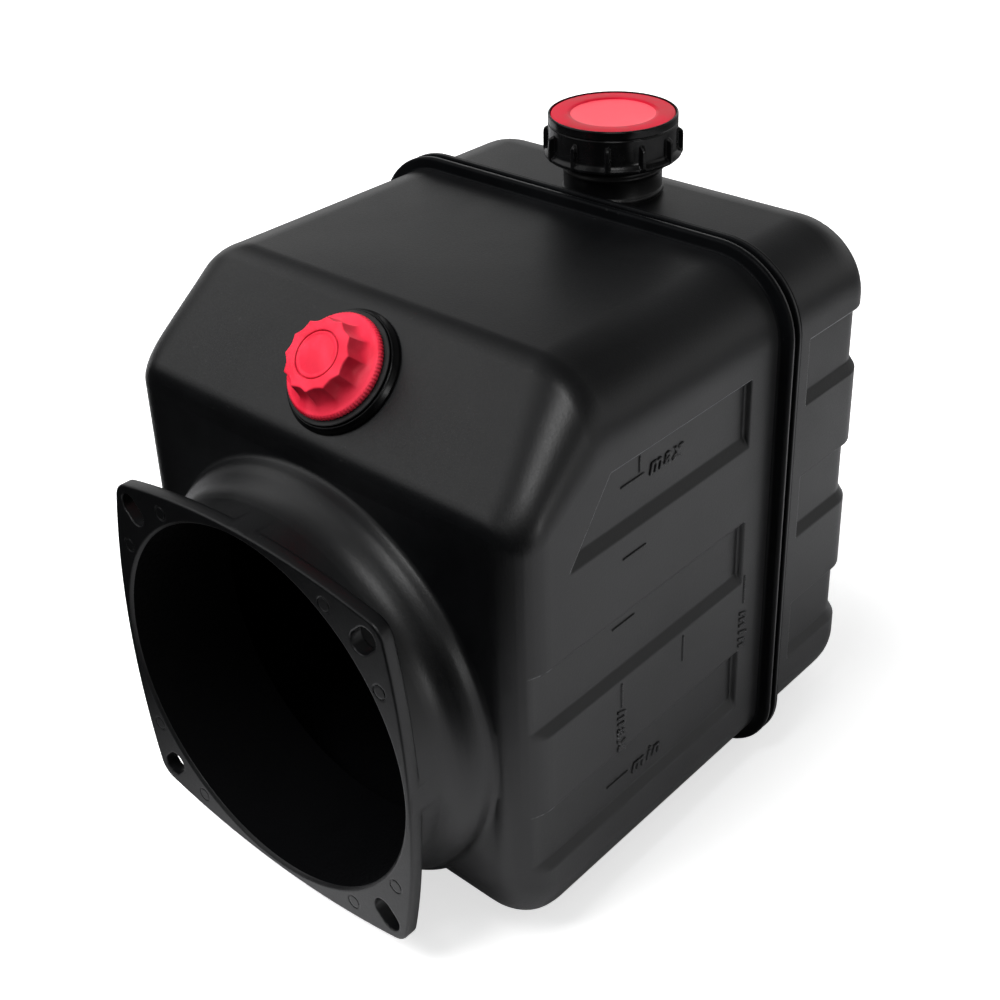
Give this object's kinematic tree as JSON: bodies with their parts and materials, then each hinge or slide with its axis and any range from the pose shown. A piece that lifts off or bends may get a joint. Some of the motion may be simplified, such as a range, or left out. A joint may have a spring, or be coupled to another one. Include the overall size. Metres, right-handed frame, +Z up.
{
  "type": "hydraulic power unit oil tank",
  "caption": "Plastic oil tank of a small hydraulic power unit: two welded shells, open pump neck with slotted flange, screw filler cap over a strainer, and a screw-in breather plug.",
  "frame": {"origin": "middle of the box round the whole tank, at its lowest point, the underside of the seam rim", "axes": "+Z up; +Y from the pump neck to the rear wall; +X to the right of someone facing the pump neck"},
  "size_m": [0.21, 0.2492, 0.2555],
  "materials": {
    "black_moulded_plastic": "fine moulded grain",
    "glossy_black_plastic": "smooth gloss",
    "red_plastic": "satin gloss",
    "black_rubber": "matt",
    "filter_foam": "open-cell foam",
    "steel_gauze": "woven wire"
  },
  "bodies": {
    "tank": {"front_shell": "black_moulded_plastic", "pump_neck": "black_moulded_plastic", "pump_flange": "black_moulded_plastic", "rear_shell": "black_moulded_plastic", "seam_weld_bead": "black_moulded_plastic", "filler_neck": "black_moulded_plastic", "filler_strainer": "black_moulded_plastic", "strainer_gauze": "steel_gauze", "breather_boss": "glossy_black_plastic"},
    "filler_cap_carrier": {"filler_cap_gasket": "black_rubber", "filler_cap_seal_plate": "black_moulded_plastic", "filler_cap_vent_foam": "filter_foam", "filler_cap_insert": "red_plastic"},
    "filler_cap_ring_body": {"filler_cap_ring": "glossy_black_plastic"},
    "breather_carrier": {"breather_gasket": "black_rubber"},
    "breather_plug": {"breather_head": "red_plastic", "breather_head_disc": "red_plastic", "breather_stem": "black_moulded_plastic", "breather_filter": "filter_foam", "breather_splash_guard": "black_moulded_plastic"}
  },
  "joints": [
    {"name": "filler_cap_rise", "type": "slide", "parent": "tank", "child": "filler_cap_carrier", "axis": [0, 0, 1], "range_m": [0, 0.0081]},
    {"name": "filler_cap_turn", "type": "hinge", "parent": "filler_cap_carrier", "child": "filler_cap_ring_body", "pos_m": [0, 0.0829, 0.2235], "axis": [0, 0, 1], "range_deg": [0, 720]},
    {"name": "breather_rise", "type": "slide", "parent": "tank", "child": "breather_carrier", "axis": [0, -0.7071, 0.7071], "range_m": [0, 0.01205]},
    {"name": "breather_turn", "type": "hinge", "parent": "breather_carrier", "child": "breather_plug", "pos_m": [0.0022, -0.07135, 0.20325], "axis": [0, -0.7071, 0.7071], "range_deg": [0, 2160]}
  ],
  "couplings": [
    {"joint": "filler_cap_rise", "follows": "filler_cap_turn", "m_per_rad": 0.00063662},
    {"joint": "breather_rise", "follows": "breather_turn", "m_per_rad": 0.00031831}
  ]
}
